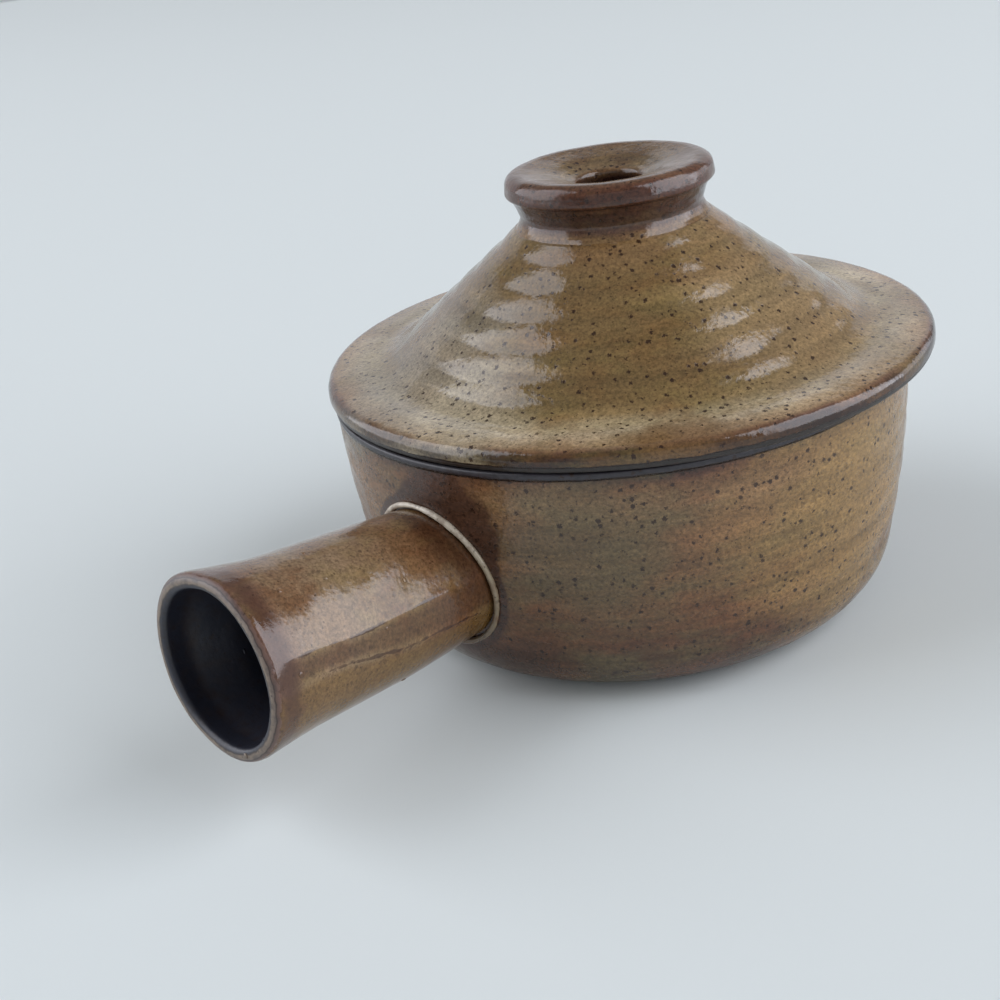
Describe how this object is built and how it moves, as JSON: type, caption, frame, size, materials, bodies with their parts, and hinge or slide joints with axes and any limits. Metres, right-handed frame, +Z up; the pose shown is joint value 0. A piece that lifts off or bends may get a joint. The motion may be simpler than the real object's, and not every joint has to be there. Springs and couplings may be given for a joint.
{
  "type": "stoneware bean pot",
  "caption": "Wheel-thrown stoneware bean pot with a hollow stick handle and a lift-off cone lid with a dished knob, in rust and olive glaze.",
  "frame": {"origin": "centre of the flat foot, on the pot's axis, at the surface the pot stands on", "axes": "+Z up along the pot's axis, +X away from the pot along the handle"},
  "size_m": [0.223, 0.16, 0.117],
  "materials": {
    "bowl_glaze": "semi-gloss speckled rust and olive glaze",
    "handle_glaze": "glossy rust and olive glaze",
    "coil_glaze": "glossy pale glaze over a raised coil",
    "lid_glaze": "semi-gloss speckled rust and olive glaze",
    "ring_clay": "bare vitrified clay",
    "knob_glaze": "semi-gloss rust and olive glaze"
  },
  "bodies": {
    "pot": {"bowl": "bowl_glaze", "handle": "handle_glaze", "handle_coil": "coil_glaze"},
    "lid": {"lid": "lid_glaze", "lid_ring": "ring_clay", "knob": "knob_glaze"}
  },
  "joints": [
    {"name": "lid_lift", "type": "slide", "parent": "pot", "child": "lid", "axis": [0, 0, 1], "range_m": [0, 0.1]}
  ]
}
